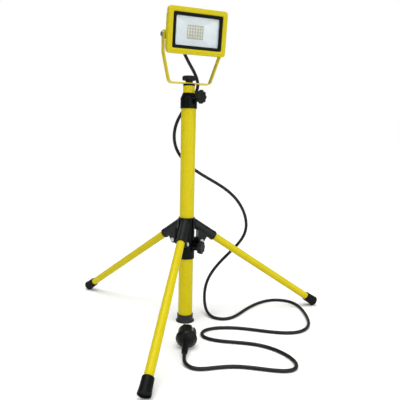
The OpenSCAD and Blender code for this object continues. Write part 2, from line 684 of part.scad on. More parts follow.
module plug_sleeve() color(black) plug_pose() difference() {
    union() {
        translate([0, 0, -plug_sleeve_len]) cylinder(r1 = 5.5, r2 = 7.5, h = plug_sleeve_len - 11);
        translate([0, 0, -12]) cylinder(r = 6, h = 11.5);
    }
    translate([0, 0, -plug_sleeve_len - eps]) cylinder(r = cord_d / 2 + 0.1, h = 30);
}

hub();
hub_clamp_nut();
leg_bolts();
leg_nuts();
hub_knob();
hub_clamp_screw();
leg_socket_front();
leg_tube_front();
leg_foot_front();
leg_socket_right();
leg_tube_right();
leg_foot_right();
leg_socket_back();
leg_tube_back();
leg_foot_back();
outer_mast();
mast_foot();
mast_collar();
collar_clamp_nut();
collar_knob();
collar_clamp_screw();
inner_mast();
mast_guide();
mast_cap();
yoke_stud();
yoke();
yoke_knob();
yoke_knob_nut();
lamp_housing();
front_frame();
window_gasket();
window_glass();
reflector();
led_board();
led_chips();
led_driver();
driver_cover();
cover_screws();
frame_screws();
gland_body();
gland_nut();
gland_sleeve();
pivot_bolts();
pivot_washers();
cord();
plug_body();
plug_insert();
plug_pins();
plug_earth_clips();
plug_sleeve();
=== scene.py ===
import json
import math

import bmesh
import bpy
from mathutils import Matrix, Vector

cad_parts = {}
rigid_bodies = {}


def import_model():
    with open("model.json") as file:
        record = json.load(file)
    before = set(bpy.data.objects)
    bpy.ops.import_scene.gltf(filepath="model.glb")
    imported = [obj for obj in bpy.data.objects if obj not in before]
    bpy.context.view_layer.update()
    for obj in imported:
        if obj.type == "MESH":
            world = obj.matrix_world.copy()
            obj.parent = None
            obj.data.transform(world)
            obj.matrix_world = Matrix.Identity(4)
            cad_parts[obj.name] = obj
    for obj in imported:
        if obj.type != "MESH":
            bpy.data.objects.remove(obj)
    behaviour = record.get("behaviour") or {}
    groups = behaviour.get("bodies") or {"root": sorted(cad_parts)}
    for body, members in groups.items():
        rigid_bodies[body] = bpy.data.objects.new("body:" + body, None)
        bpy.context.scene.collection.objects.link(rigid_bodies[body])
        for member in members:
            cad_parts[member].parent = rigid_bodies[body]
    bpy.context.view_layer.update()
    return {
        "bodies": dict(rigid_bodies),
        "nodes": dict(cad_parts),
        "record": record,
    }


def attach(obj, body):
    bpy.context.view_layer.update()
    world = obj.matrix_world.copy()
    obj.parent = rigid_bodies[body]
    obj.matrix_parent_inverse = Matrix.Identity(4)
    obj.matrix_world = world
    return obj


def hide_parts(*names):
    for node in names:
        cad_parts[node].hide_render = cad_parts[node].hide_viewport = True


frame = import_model()
scene = bpy.context.scene
TAU = 2 * math.pi
MM = 0.001  # the pieces are drawn in millimetres, the frame is in metres

# ---------------------------------------------------------------- main sizes, in millimetres

MAST_R, MAST_BORE = 16, 14.5
MAST_LOW, MAST_TOP = 3.2, 490
INNER_R, INNER_BORE = 12.5, 11
INNER_LOW, INNER_TOP = 122.4, 522.4
COLLAR_BOSS_END, COLLAR_SCREW_Z, COLLAR_AZIMUTH = 25, 498.5, -60
HUB_BOSS_END, HUB_SCREW_Z, HUB_AZIMUTH = 27, 173, -45
YOKE_KNOB_Z = 529.3

LEG_AZIMUTHS = {"front": 240, "right": 0, "back": 120}
LEG_R, LEG_BORE = 8.5, 7.3
LEG_DROP = math.radians(33.2)  # a leg's slope below the level
LEG_APEX = 235.6               # where the legs' axes meet the mast's axis
HINGE_OUT, HINGE_Z = 33, 184   # a leg's hinge, from the mast's axis and from the floor
HINGE_HEAD = 8.8               # the seat of a hinge bolt's head, from the leg's middle

LAMP_X, TILT_Z = 7.5, 625.0    # the middle of the lamp's tilt axis
LAMP_TILT = math.radians(7.4)
LAMP_RISE = 8.5                # the lamp's middle above its tilt axis
LAMP_W, LAMP_H, LAMP_CORNER = 130, 92, 7
PIVOT_OUT = 69.2               # the seat of a pivot bolt's head, from the lamp's middle
LED_PITCH_X, LED_PITCH_Z = 5.8, 6.4
LED_COLUMNS, LED_ROWS = 6, 4

CORD_R = 3.5
PLUG_R = 21

# ---------------------------------------------------------------- camera

camera_data = bpy.data.cameras.new("camera")
camera_data.lens = 42.63
camera_data.sensor_width = 36
camera_data.clip_start = 0.01
camera_data.clip_end = 200
camera = bpy.data.objects.new("camera", camera_data)
scene.collection.objects.link(camera)
camera.location = (-0.35029, -0.97769, 0.40181)
camera.rotation_euler = [math.radians(angle) for angle in (83.1345, -1.1946, -21.1448)]
scene.camera = camera
scene.view_settings.view_transform = "Standard"

# ---------------------------------------------------------------- node helpers


def node(tree, kind, **values):
    n = tree.nodes.new(kind)
    for key, value in values.items():
        if key in n.inputs:
            n.inputs[key].default_value = value
        else:
            setattr(n, key, value)
    return n


def object_space(tree, stretch=(1, 1, 1)):
    where = node(tree, "ShaderNodeTexCoord")
    scale = node(tree, "ShaderNodeMapping")
    scale.inputs["Scale"].default_value = stretch
    tree.links.new(where.outputs["Object"], scale.inputs["Vector"])
    return scale.outputs["Vector"]


def noise(tree, scale, detail=3.0, roughness=0.5, stretch=(1, 1, 1)):
    n = node(tree, "ShaderNodeTexNoise", Scale=scale, Detail=detail, Roughness=roughness)
    tree.links.new(object_space(tree, stretch), n.inputs["Vector"])
    return n.outputs["Fac"]


def spread(tree, source, low, high, start=0.3, stop=0.7):
    n = node(tree, "ShaderNodeMapRange")
    n.inputs["From Min"].default_value = start
    n.inputs["From Max"].default_value = stop
    n.inputs["To Min"].default_value = low
    n.inputs["To Max"].default_value = high
    tree.links.new(source, n.inputs["Value"])
    return n.outputs["Result"]


def tinted(tree, source, colour_a, colour_b, start=0.3, stop=0.7):
    ramp = node(tree, "ShaderNodeValToRGB")
    ramp.color_ramp.elements[0].position = start
    ramp.color_ramp.elements[1].position = stop
    ramp.color_ramp.elements[0].color = (*colour_a, 1)
    ramp.color_ramp.elements[1].color = (*colour_b, 1)
    tree.links.new(source, ramp.inputs["Fac"])
    return ramp.outputs["Color"]


def bump(tree, shader, *layers):
    """Stacks bumps: each layer is (height, strength, distance in metres)."""
    normal = None
    for height, strength, distance in layers:
        n = node(tree, "ShaderNodeBump", Strength=strength, Distance=distance)
        tree.links.new(height, n.inputs["Height"])
        if normal:
            tree.links.new(normal, n.inputs["Normal"])
        normal = n.outputs["Normal"]
    tree.links.new(normal, shader.inputs["Normal"])


def new_material(name):
    m = bpy.data.materials.new(name)
    m.use_nodes = True
    return m, m.node_tree, m.node_tree.nodes["Principled BSDF"]


def mix_colour(tree, fac, colour_socket, plain):
    """Mixes a plain colour into a socket's colour, by a factor from a socket."""
    n = node(tree, "ShaderNodeMix", data_type="RGBA")
    tree.links.new(fac, n.inputs[0])
    tree.links.new(colour_socket, n.inputs[6])
    n.inputs[7].default_value = (*plain, 1)
    return n.outputs[2]


# ---------------------------------------------------------------- materials


def powder_paint(name, base, deep, rough, peel):
    """Sprayed powder coat: slight orange peel, faint tonal clouds, fine dust."""
    m, t, s = new_material(name)
    clouds = tinted(t, noise(t, 14, 3), deep, base, 0.25, 0.6)
    dust = spread(t, noise(t, 900, 2), 0.0, 0.04, 0.62, 0.75)
    colour = mix_colour(t, dust, clouds, tuple(0.8 * c + 0.2 for c in base))
    t.links.new(colour, s.inputs["Base Color"])
    t.links.new(spread(t, noise(t, 70, 4), rough - 0.05, rough + 0.07), s.inputs["Roughness"])
    s.inputs["Specular IOR Level"].default_value = 0.10
    s.inputs["Coat Weight"].default_value = 0.08
    s.inputs["Coat Roughness"].default_value = 0.15
    bump(t, s, (noise(t, 420, 2), peel, 0.0002), (noise(t, 2600, 2), peel * 0.5, 0.00005))
    return m


def moulded(name, base, light, rough, grain, gloss=0.2):
    """Moulded plastic or rubber: fine spark-eroded grain, flow clouds, a little dust."""
    m, t, s = new_material(name)
    clouds = tinted(t, noise(t, 45, 4, 0.6), base, light, 0.35, 0.75)
    dust = spread(t, noise(t, 1500, 2), 0.0, 0.12, 0.6, 0.75)
    dusty = mix_colour(t, dust, clouds, tuple(c * 3 + 0.02 for c in base))
    t.links.new(dusty, s.inputs["Base Color"])
    t.links.new(spread(t, noise(t, 160, 3), rough - 0.06, rough + 0.08), s.inputs["Roughness"])
    s.inputs["Specular IOR Level"].default_value = gloss
    bump(t, s, (noise(t, 3200, 3), grain, 0.00008), (noise(t, 240, 2), 0.06, 0.0003))
    return m


def worked_metal(name, base, dark, rough, brush=(1, 1, 30)):
    """Plated or brushed metal with fine drawn lines and faint tarnish."""
    m, t, s = new_material(name)
    s.inputs["Metallic"].default_value = 1.0
    tarnish = tinted(t, noise(t, 120, 4), dark, base, 0.3, 0.62)
    t.links.new(tarnish, s.inputs["Base Color"])
    lines = noise(t, 260, 3, 0.6, brush)
    t.links.new(spread(t, lines, rough - 0.07, rough + 0.12), s.inputs["Roughness"])
    bump(t, s, (lines, 0.12, 0.0001))
    return m


MATERIALS = {
    "yellow_paint": powder_paint("yellow_powder_coat", (0.500, 0.415, 0.0020), (0.478, 0.396, 0.0018),
                                 0.26, 0.05),
    "yellow_casting": powder_paint("yellow_cast_coat", (0.475, 0.395, 0.0025), (0.450, 0.374, 0.0020),
                                   0.32, 0.07),
    "black_plastic": moulded("black_moulding", (0.0012, 0.0016, 0.0014), (0.0022, 0.0028, 0.0025),
                             0.20, 0.14, gloss=0.09),
    "knob_plastic": moulded("knob_moulding", (0.0045, 0.0056, 0.0050), (0.0075, 0.0090, 0.0082),
                            0.40, 0.30, gloss=0.14),
    "black_rubber": moulded("foot_rubber", (0.0024, 0.0028, 0.0027), (0.0045, 0.0052, 0.0050),
                            0.42, 0.40, gloss=0.08),
    "socket_moulding": moulded("socket_moulding", (0.0055, 0.0066, 0.0060), (0.0085, 0.0100, 0.0092),
                               0.30, 0.20, gloss=0.18),
    "grey_rubber": moulded("grey_rubber", (0.0160, 0.0165, 0.0160), (0.0220, 0.0226, 0.0220),
                           0.45, 0.30, gloss=0.16),
    "cord_rubber": moulded("cord_rubber", (0.0060, 0.0045, 0.0044), (0.0100, 0.0078, 0.0076),
                           0.36, 0.25, gloss=0.20),
    "plug_rubber": moulded("plug_rubber", (0.0015, 0.0019, 0.0016), (0.0035, 0.0040, 0.0037),
                           0.30, 0.20, gloss=0.14),
    "driver_case": moulded("driver_case", (0.02, 0.02, 0.023), (0.03, 0.03, 0.034), 0.4, 0.3),
    "zinc_steel": worked_metal("zinc_plate", (0.66, 0.67, 0.68), (0.5, 0.5, 0.5), 0.26),
    "dark_steel": worked_metal("blackened_steel", (0.16, 0.155, 0.145), (0.09, 0.088, 0.084), 0.38),
    "insert_brass": worked_metal("brass_insert", (0.78, 0.60, 0.27), (0.6, 0.42, 0.16), 0.28),
    "nickel_plate": worked_metal("nickel_plate", (0.72, 0.70, 0.66), (0.6, 0.57, 0.52), 0.16, (1, 1, 12)),
}


def reflector_finish():
    """Light satin reflector with a fine hammered dimple that scatters the light."""
    m, t, s = new_material("hammered_aluminium")
    s.inputs["Metallic"].default_value = 0.08
    cells = node(t, "ShaderNodeTexVoronoi", Scale=520.0)
    t.links.new(object_space(t), cells.inputs["Vector"])
    silver = tinted(t, noise(t, 60, 3), (0.87, 0.92, 0.95), (0.91, 0.955, 0.98))
    t.links.new(silver, s.inputs["Base Color"])
    t.links.new(spread(t, noise(t, 300, 2), 0.30, 0.42), s.inputs["Roughness"])
    bump(t, s, (cells.outputs["Distance"], 0.22, 0.0005))
    return m


def window_finish():
    """Clear pane: see-through with a Fresnel gloss and faint smears."""
    m = bpy.data.materials.new("clear_pane")
    m.use_nodes = True
    t = m.node_tree
    t.nodes.clear()
    clear = node(t, "ShaderNodeBsdfTransparent", Color=(0.985, 0.995, 0.995, 1))
    gloss = node(t, "ShaderNodeBsdfGlossy", Color=(1, 1, 1, 1))
    t.links.new(spread(t, noise(t, 35, 4, 0.6), 0.03, 0.10), gloss.inputs["Roughness"])
    edge = node(t, "ShaderNodeFresnel", IOR=1.45)
    both = node(t, "ShaderNodeMixShader")
    t.links.new(edge.outputs["Fac"], both.inputs["Fac"])
    t.links.new(clear.outputs["BSDF"], both.inputs[1])
    t.links.new(gloss.outputs["BSDF"], both.inputs[2])
    out = node(t, "ShaderNodeOutputMaterial")
    t.links.new(both.outputs["Shader"], out.inputs["Surface"])
    return m


def board_finish():
    """Cream solder mask with a faint glass-fibre weave."""
    m, t, s = new_material("board_mask")
    weave = node(t, "ShaderNodeTexWave", Scale=700.0, Distortion=0.4)
    t.links.new(object_space(t), weave.inputs["Vector"])
    mask = tinted(t, noise(t, 200, 3), (0.47, 0.46, 0.36), (0.54, 0.53, 0.43))
    t.links.new(mask, s.inputs["Base Color"])
    t.links.new(spread(t, noise(t, 500, 2), 0.3, 0.45), s.inputs["Roughness"])
    bump(t, s, (weave.outputs["Fac"], 0.08, 0.0001))
    return m


def phosphor_finish():
    """Silicone loaded with phosphor: waxy, slightly grainy yellow."""
    m, t, s = new_material("led_phosphor")
    grain = noise(t, 2400, 3)
    t.links.new(tinted(t, grain, (0.93, 0.91, 0.66), (0.96, 0.95, 0.76)), s.inputs["Base Color"])
    t.links.new(spread(t, grain, 0.25, 0.4), s.inputs["Roughness"])
    s.inputs["Subsurface Weight"].default_value = 0.15
    s.inputs["Subsurface Scale"].default_value = 0.001
    bump(t, s, (grain, 0.1, 0.0001))
    return m


MATERIALS["reflector_metal"] = reflector_finish()
MATERIALS["clear_glass"] = window_finish()
MATERIALS["board_white"] = board_finish()
MATERIALS["led_phosphor"] = phosphor_finish()

# ---------------------------------------------------------------- mesh helpers

NODE_SLOT = {s["node"]: s["material_slot"] for s in frame["record"]["subparts"]}
NODE_BODY = {n: b for b, ns in frame["record"]["behaviour"]["bodies"].items() for n in ns}


def weighted(obj):
    m = obj.modifiers.new("weighted", "WEIGHTED_NORMAL")
    m.keep_sharp = True
    m.weight = 80
    return obj


def publish(name, bm, body, slot_name, stands_for=(), place=Matrix.Identity(4), sharp=38, unit=MM,
            finish=None):
    """Turns a bmesh, drawn in millimetres in its own frame, into a piece on a CAD body."""
    bmesh.ops.transform(bm, matrix=Matrix.Scale(unit, 4) @ place, verts=bm.verts)
    bmesh.ops.recalc_face_normals(bm, faces=bm.faces)
    mesh = bpy.data.meshes.new(name)
    bm.to_mesh(mesh)
    bm.free()
    mesh.shade_smooth()
    mesh.set_sharp_from_angle(angle=math.radians(sharp))
    obj = bpy.data.objects.new(name, mesh)
    scene.collection.objects.link(obj)
    mesh.materials.append(MATERIALS[finish or slot_name])
    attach(obj, body)
    if stands_for:
        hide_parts(*stands_for)
    return weighted(obj)


def softened(node_name, width=0.4, segments=2, angle=32, finish=None):
    """A copy of a CAD node whose sharp edges are rounded like a moulding's or a casting's."""
    source = frame["nodes"][node_name].data
    bm = bmesh.new()
    bm.from_mesh(source)
    bmesh.ops.remove_doubles(bm, verts=bm.verts, dist=2e-6)
    bmesh.ops.dissolve_limit(bm, angle_limit=math.radians(0.6), verts=bm.verts, edges=bm.edges)
    limit = math.radians(angle)
    edges = [e for e in bm.edges if len(e.link_faces) == 2 and e.calc_face_angle(0) > limit]
    if width and edges:
        bmesh.ops.bevel(bm, geom=edges, offset=width * MM, segments=segments, profile=0.5,
                        affect="EDGES", clamp_overlap=True)
    return publish(node_name + "_skin", bm, NODE_BODY[node_name], NODE_SLOT[node_name], [node_name],
                   unit=1.0, finish=finish)


def gathered(parts):
    """One bmesh from several (bmesh, matrix) pairs."""
    whole = bmesh.new()
    for part, matrix in parts:
        bmesh.ops.transform(part, matrix=matrix, verts=part.verts)
        temp = bpy.data.meshes.new("temp")
        part.to_mesh(temp)
        whole.from_mesh(temp)
        bpy.data.meshes.remove(temp)
        part.free()
    return whole


def lathe(profile, steps=96, shape=None, closed=False):
    """Revolves (radius, z) points about Z. shape(angle, radius, z) may change a radius."""
    bm = bmesh.new()
    rings = []
    for r, z in profile:
        if r < 1e-6:
            rings.append([bm.verts.new((0, 0, z))])
            continue
        ring = []
        for k in range(steps):
            a = TAU * k / steps
            q = shape(a, r, z) if shape else r
            ring.append(bm.verts.new((q * math.cos(a), q * math.sin(a), z)))
        rings.append(ring)
    pairs = list(zip(rings, rings[1:])) + ([(rings[-1], rings[0])] if closed else [])
    for a, b in pairs:
        for k in range(steps):
            j = (k + 1) % steps
            if len(a) == len(b) == 1:
                break
            if len(a) == 1:
                bm.faces.new((a[0], b[k], b[j]))
            elif len(b) == 1:
                bm.faces.new((a[k], b[0], a[j]))
            else:
                bm.faces.new((a[k], b[k], b[j], a[j]))
    return bm


def rounded_loop(w, h, r, n=8):
    """Points around a rounded rectangle in X and Z, counter-clockwise."""
    points = []
    for cx, cz, start in ((1, 1, 0), (-1, 1, 90), (-1, -1, 180), (1, -1, 270)):
        for k in range(n + 1):
            a = math.radians(start + 90 * k / n)
            x = cx * (w / 2 - r) + r * math.cos(a)
            z = cz * (h / 2 - r) + r * math.sin(a)
            points.append((x, z))
    return points


def lofted(sections):
    """Closed skin through rounded rectangles, each (width, height, corner radius, y)."""
    bm = bmesh.new()
    loops = [[bm.verts.new((x, y, z)) for x, z in rounded_loop(w, h, r)] for w, h, r, y in sections]
    for a, b in zip(loops, loops[1:] + loops[:1]):
        n = len(a)
        for k in range(n):
            bm.faces.new((a[k], a[(k + 1) % n], b[(k + 1) % n], b[k]))
    return bm


def rim(w, h, r, profile, r_min=0.6):
    """Sweeps (inset, y) points around a rounded rectangle in X and Z."""
    return lofted([(w - 2 * d, h - 2 * d, max(r - d, r_min), y) for d, y in profile])


def box(bm, low, high):
    xs, ys, zs = zip(low, high)
    v = [bm.verts.new((x, y, z)) for x in xs for y in ys for z in zs]
    for f in ((0, 1, 3, 2), (4, 6, 7, 5), (0, 4, 5, 1), (2, 3, 7, 6), (0, 2, 6, 4), (1, 5, 7, 3)):
        bm.faces.new([v[i] for i in f])


def swept(points, radius, sides=16):
    """Tube of constant radius along points, with a frame carried along without twist."""
    bm = bmesh.new()
    side = None
    rings = []
    for i, p in enumerate(points):
        d = (points[min(i + 1, len(points) - 1)] - points[max(i - 1, 0)]).normalized()
        if side is None:
            side = d.cross(Vector((0, 1, 0))).normalized()
        side = (side - d * side.dot(d)).normalized()
        other = d.cross(side)
        ring = []
        for k in range(sides):
            a = TAU * k / sides
            ring.append(bm.verts.new(p + radius * (math.cos(a) * side + math.sin(a) * other)))
        rings.append(ring)
    for a, b in zip(rings, rings[1:]):
        for k in range(sides):
            bm.faces.new((a[k], a[(k + 1) % sides], b[(k + 1) % sides], b[k]))
    bm.faces.new(rings[0][::-1])
    bm.faces.new(rings[-1])
    return bm


# ---------------------------------------------------------------- cord

# from the gland down to the floor and on to the plug
ROUTE = [(-7.7, 19.6, 598.1), (4.9, 18.9, 574.2), (24, 16, 546), (30, 17, 517), (5, 25, 485),
         (-26, 24, 440), (-26, 22, 384), (24, 26, 338), (96, 19, 304), (139, 13, 265),
         (160, 13, 213), (150, 20, 172), (100, 34, 125), (62, 35, 80), (60, 38, 26),
         (57, 5, 3.6), (72, -28, 3.6), (108, -32, 3.6), (168, 23, 3.6), (248, 66, 3.6),
         (299, 39, 3.6), (300, -10, 3.6), (274, -84, 3.6), (245, -132, 3.6), (202, -155, 3.6),
         (150, -131, 3.6), (104, -91, 3.6), (50, -67, 3.6), (8, -76, 3.6), (-2, -112, 3.6),
         (32, -142, 3.6), (93, -171, 3.6), (122, -219, 3.6), (127, -274, 3.6),
         (98, -302, 3.6), (54, -274, 3.6), (6, -240, 3.6), (-51, -240, 3.6),
         (-69.5, -227.5, 4), (-75.5, -205.7, 6), (-64.1, -179.9, 12)]
CORD_SPAN_STEPS = 7
CORD_SIDES = 18


def spline(points, per_span):
    """Smooth curve that starts and ends on the first and last point."""
    p = [Vector(q) for q in points]
    p = [2 * p[0] - p[1], *p, 2 * p[-1] - p[-2]]
    line = []
    for i in range(len(p) - 3):
        last = i == len(p) - 4
        for k in range(per_span + (1 if last else 0)):
            t = k / per_span
            w = ((1 - t) ** 3, 3 * t ** 3 - 6 * t ** 2 + 4, -3 * t ** 3 + 3 * t ** 2 + 3 * t + 1, t ** 3)
            line.append(sum((w[j] * p[i + j] for j in range(4)), Vector()) / 6)
    return line


cord_line = spline(ROUTE, CORD_SPAN_STEPS)
cord = publish("mains_cord", swept(cord_line, CORD_R, CORD_SIDES), "stand", "cord_rubber", ["cord"])

# ---------------------------------------------------------------- turned and swept pieces


def tube_profile(ro, ri, z0, z1, c=0.35):
    """Tube from z0 to z1 with chamfers c on both ends, inside and out."""
    return [(ro - c, z0), (ro, z0 + c), (ro, z1 - c), (ro - c, z1),
            (ri + c, z1), (ri, z1 - c), (ri, z0 + c), (ri + c, z0)]


def turned(name, profile, body, slot_name, stands_for=(), place=Matrix.Identity(4), steps=96,
           shape=None, closed=True, finish=None):
    """A lathed profile as a piece."""
    bm = lathe(profile, steps, shape, closed)
    return publish(name, bm, body, slot_name, stands_for, place, finish=finish)


# mast tubes
turned("outer_mast_tube", tube_profile(MAST_R, MAST_BORE, MAST_LOW, MAST_TOP), "mast", "yellow_paint",
       ["outer_mast"])
turned("inner_mast_tube", tube_profile(INNER_R, INNER_BORE, INNER_LOW, INNER_TOP), "upper_mast",
       "yellow_paint", ["inner_mast"])

# mast foot: a cup with a thin flared rim and a bead at the top
turned("mast_foot_cup", [
    (0, 0.6), (12, 0.6), (13, 0), (20.1, 0), (20.6, 0.35), (20.75, 0.9), (20.75, 2.1), (20.5, 2.7),
    (19.4, 3.1), (18.5, 3.6), (18.05, 4.6), (17.8, 6.0), (17.65, 14.6), (17.95, 15.3), (17.95, 16.8),
    (17.6, 17.4), (16.4, 17.5), (16.05, 17.2), (16.05, 3.1), (0, 3.1)],
    "mast", "black_rubber", ["mast_foot"], closed=False, finish="grey_rubber")


# collar: fluted sleeve with a cone, and the boss of its clamp screw
def collar_flutes(a, r, z):
    """Ten narrow grooves in the sleeve, between its two beads."""
    if r < 13.5 or not 479.5 < z < 494.5:
        return r
    return r - 0.55 * max(0.0, math.cos(10 * (a - math.radians(15)))) ** 10


collar_profile = [(16.05, 474.5), (17.6, 474.5), (18.2, 475.1), (18.2, 477.4), (17.9, 477.9), (17.9, 479.0)]
collar_profile += [(18.0, z) for z in (481, 484, 487, 490, 493)]
collar_profile += [(18.15, 495.4), (18.0, 496.8), (17.3, 497.9), (15.0, 503.2), (14.0, 506.2),
                   (13.5, 507.2), (12.75, 507.5), (12.56, 507.2), (12.56, 491), (16.05, 490.4)]
turned("collar_sleeve", collar_profile, "mast", "black_plastic", ["mast_collar"],
       steps=160, shape=collar_flutes)


def radial(azimuth, z):
    """Frame with Z pointing out from the mast's axis."""
    a = math.radians(azimuth)
    outward = Matrix.Rotation(a, 4, "Z") @ Matrix.Rotation(math.pi / 2, 4, "Y")
    return Matrix.Translation((0, 0, z)) @ outward


turned("collar_boss", [(5.02, 15.6), (8.6, 15.6), (8.3, 17.5), (8.0, 19.0), (8.0, 24.2),
                       (7.3, COLLAR_BOSS_END), (5.3, COLLAR_BOSS_END), (5.02, 24.7)],
       "mast", "black_plastic", place=radial(COLLAR_AZIMUTH, COLLAR_SCREW_Z))


# lobed clamp knobs
def lobed(lobes, outer, depth, power=1.5, start=9.5):
    """Shape for a lathe: lobes that deepen from the start radius to the outer one."""
    def shape(a, r, z):
        if r < start:
            return r
        cut = (0.5 - 0.5 * math.cos(lobes * a)) ** power
        return r - depth * cut * (r - start) / (outer - start)
    return shape


KNOB_R, KNOB_GAP = 14.5, 0.5
KNOB = [(3.02, 0.3), (6.8, 0.0), (7.6, 0.4), (7.8, 1.4), (7.9, 2.4), (8.6, 3.0), (11.6, 3.15),
        (13.4, 3.6), (14.2, 4.5), (KNOB_R, 5.8), (KNOB_R, 10.4), (14.2, 11.7), (13.3, 12.6), (11.4, 13.0),
        (10.2, 13.0), (9.5, 12.85), (9.1, 12.3), (8.6, 12.1), (4.0, 12.3), (0, 12.4)]


def knob(name, body, node_name, azimuth, z, boss_end):
    """An eight-lobed knob just off the end of its boss."""
    place = radial(azimuth, z) @ Matrix.Translation((0, 0, boss_end + KNOB_GAP))
    turned(name, KNOB, body, "knob_plastic", [node_name], place, steps=192,
           shape=lobed(8, KNOB_R, 2.7), closed=False)


knob("collar_knob_grip", "clamp_knob_mast", "collar_knob", COLLAR_AZIMUTH, COLLAR_SCREW_Z, COLLAR_BOSS_END)
knob("hub_knob_grip", "clamp_knob_hub", "hub_knob", HUB_AZIMUTH, HUB_SCREW_Z, HUB_BOSS_END)

YOKE_KNOB_R = 15.0
YOKE_KNOB = [(4.05, 0.2), (6.9, 0.0), (7.7, 0.4), (7.8, 1.6), (7.7, 3.2), (8.2, 4.0), (11.0, 4.45),
             (13.6, 4.9), (14.7, 5.9), (YOKE_KNOB_R, 7.4), (YOKE_KNOB_R, 11.6), (14.7, 12.9),
             (13.7, 13.75), (11.8, 14.1), (10.6, 14.1), (9.9, 13.9), (9.4, 13.3), (8.8, 13.1),
             (4.3, 13.3), (4.05, 13.0)]
turned("yoke_knob_grip", YOKE_KNOB, "yoke_nut", "knob_plastic", ["yoke_knob"],
       Matrix.Translation((0, 0, YOKE_KNOB_Z)), steps=192, shape=lobed(12, YOKE_KNOB_R, 1.7, 1.2, 10.4))


# leg tubes and feet
FOOT_R, FOOT_LENGTH = 11.5, 30
LEG_END = (LEG_APEX - FOOT_R * math.cos(LEG_DROP)) / math.sin(LEG_DROP)
FOOT_START = LEG_END - FOOT_LENGTH


def leg_frame(azimuth):
    """Frame with its origin at the legs' apex and Z down along a leg."""
    return (Matrix.Rotation(math.radians(azimuth), 4, "Z") @ Matrix.Translation((0, 0, LEG_APEX))
            @ Matrix.Rotation(math.pi / 2 + LEG_DROP, 4, "Y"))


# (radius, distance), from the mouth of the cap and from its end
foot_mouth = [(8.55, 0), (10.0, 0), (10.6, 0.5), (10.75, 1.6), (10.8, 8), (11.0, 17), (11.4, 23)]
foot_end = [(11.9, 2.2), (12.0, 1.2), (11.8, 0.3), (11.3, 0), (10.4, 0), (9.9, 0.4), (9.7, 2.2),
            (0, 2.3), (0, 3.5), (8.55, 3.5)]
foot_profile = [(r, FOOT_START + d) for r, d in foot_mouth] + [(r, LEG_END - d) for r, d in foot_end]
for side, azimuth in LEG_AZIMUTHS.items():
    place = leg_frame(azimuth)
    turned("leg_tube_" + side + "_pipe", tube_profile(LEG_R, LEG_BORE, 30.5, LEG_END - 4), "leg_" + side,
           "yellow_paint", ["leg_tube_" + side], place)
    turned("leg_foot_" + side + "_cap", foot_profile, "leg_" + side, "black_rubber",
           ["leg_foot_" + side], place)
    softened("leg_socket_" + side, 0.7, segments=3, finish="socket_moulding")


# fasteners
def socket_shape(a, r, z):
    """Radii below 3 become the six flats of a hexagon socket."""
    if r > 2.95:
        return r
    return r / math.cos((a + math.pi / 6) % (math.pi / 3) - math.pi / 6)


SOCKET = 1.9  # half the width of a hexagon socket


def bolt_head(radius, height):
    """Button head with a hexagon socket, from z = 0 upward."""
    return [(0, 0), (radius - 0.3, 0), (radius, 0.3), (radius, height * 0.45),
            (radius * 0.93, height * 0.72), (radius * 0.72, height * 0.93), (radius * 0.55, height),
            (2.95, height), (SOCKET, height), (SOCKET, height * 0.4), (0, height * 0.4)]


def hinge_frame(azimuth, offset):
    """Frame with Z along a leg's hinge."""
    return (Matrix.Rotation(math.radians(azimuth), 4, "Z")
            @ Matrix.Translation((HINGE_OUT, offset, HINGE_Z)) @ Matrix.Rotation(-math.pi / 2, 4, "X"))


def pin(radius, low, high, sides=24):
    """Plain round shank from low to high."""
    return lathe([(0, low), (radius, low), (radius, high), (0, high)], sides)


parts = []
for azimuth in LEG_AZIMUTHS.values():
    parts.append((lathe(bolt_head(4.75, 3.0), 48, socket_shape), hinge_frame(azimuth, HINGE_HEAD)))
    shank = lathe([(0, -20.4), (2.3, -20.4), (2.5, -20.2), (2.5, 0.2), (0, 0.2)], 32)
    parts.append((shank, hinge_frame(azimuth, HINGE_HEAD - 1.0)))
publish("hinge_bolts", gathered(parts), "stand", "zinc_steel", ["leg_bolts"])

# ---------------------------------------------------------------- lamp

# the lamp's own frame has its origin in the middle of the lamp and -Y towards the front
LAMP = (Matrix.Translation((LAMP_X, 0, TILT_Z)) @ Matrix.Rotation(LAMP_TILT, 4, "X")
        @ Matrix.Translation((0, 0, LAMP_RISE)))

# a rounded outer edge, a flat land, a step, and the lip around the window
FRAME_PROFILE = [
    (0.5, -15), (0, -15.5), (0, -25.4), (0.25, -26.7), (0.8, -27.5), (1.7, -27.95), (2.8, -28.1),
    (4.7, -28.1), (5.1, -28.25), (5.6, -28.85), (6.1, -29), (8.9, -28.8), (9.7, -28.35), (10.35, -27.8),
    (10.75, -27.0), (10.95, -26.0), (11, -24.8), (11, -15.5), (10.5, -15)]
publish("front_frame_casting", rim(LAMP_W, LAMP_H, LAMP_CORNER, FRAME_PROFILE, 3.0),
        "lamp", "yellow_casting", ["front_frame"], LAMP, sharp=50)
SURROUND_W, SURROUND_H, SURROUND_CORNER = 107.9, 70.4, 3.9
SURROUND_PROFILE = [
    (0, -24.6), (0, -27.5), (0.25, -27.95), (0.8, -28.15), (1.8, -28.2), (4.6, -28.0), (5.6, -27.7),
    (6.2, -27.1), (6.42, -26.3), (6.45, -24.6)]
publish("window_surround", rim(SURROUND_W, SURROUND_H, SURROUND_CORNER, SURROUND_PROFILE, 2.2),
        "lamp", "black_rubber", ["window_gasket"], LAMP, sharp=50)
softened("window_glass", 0.3)

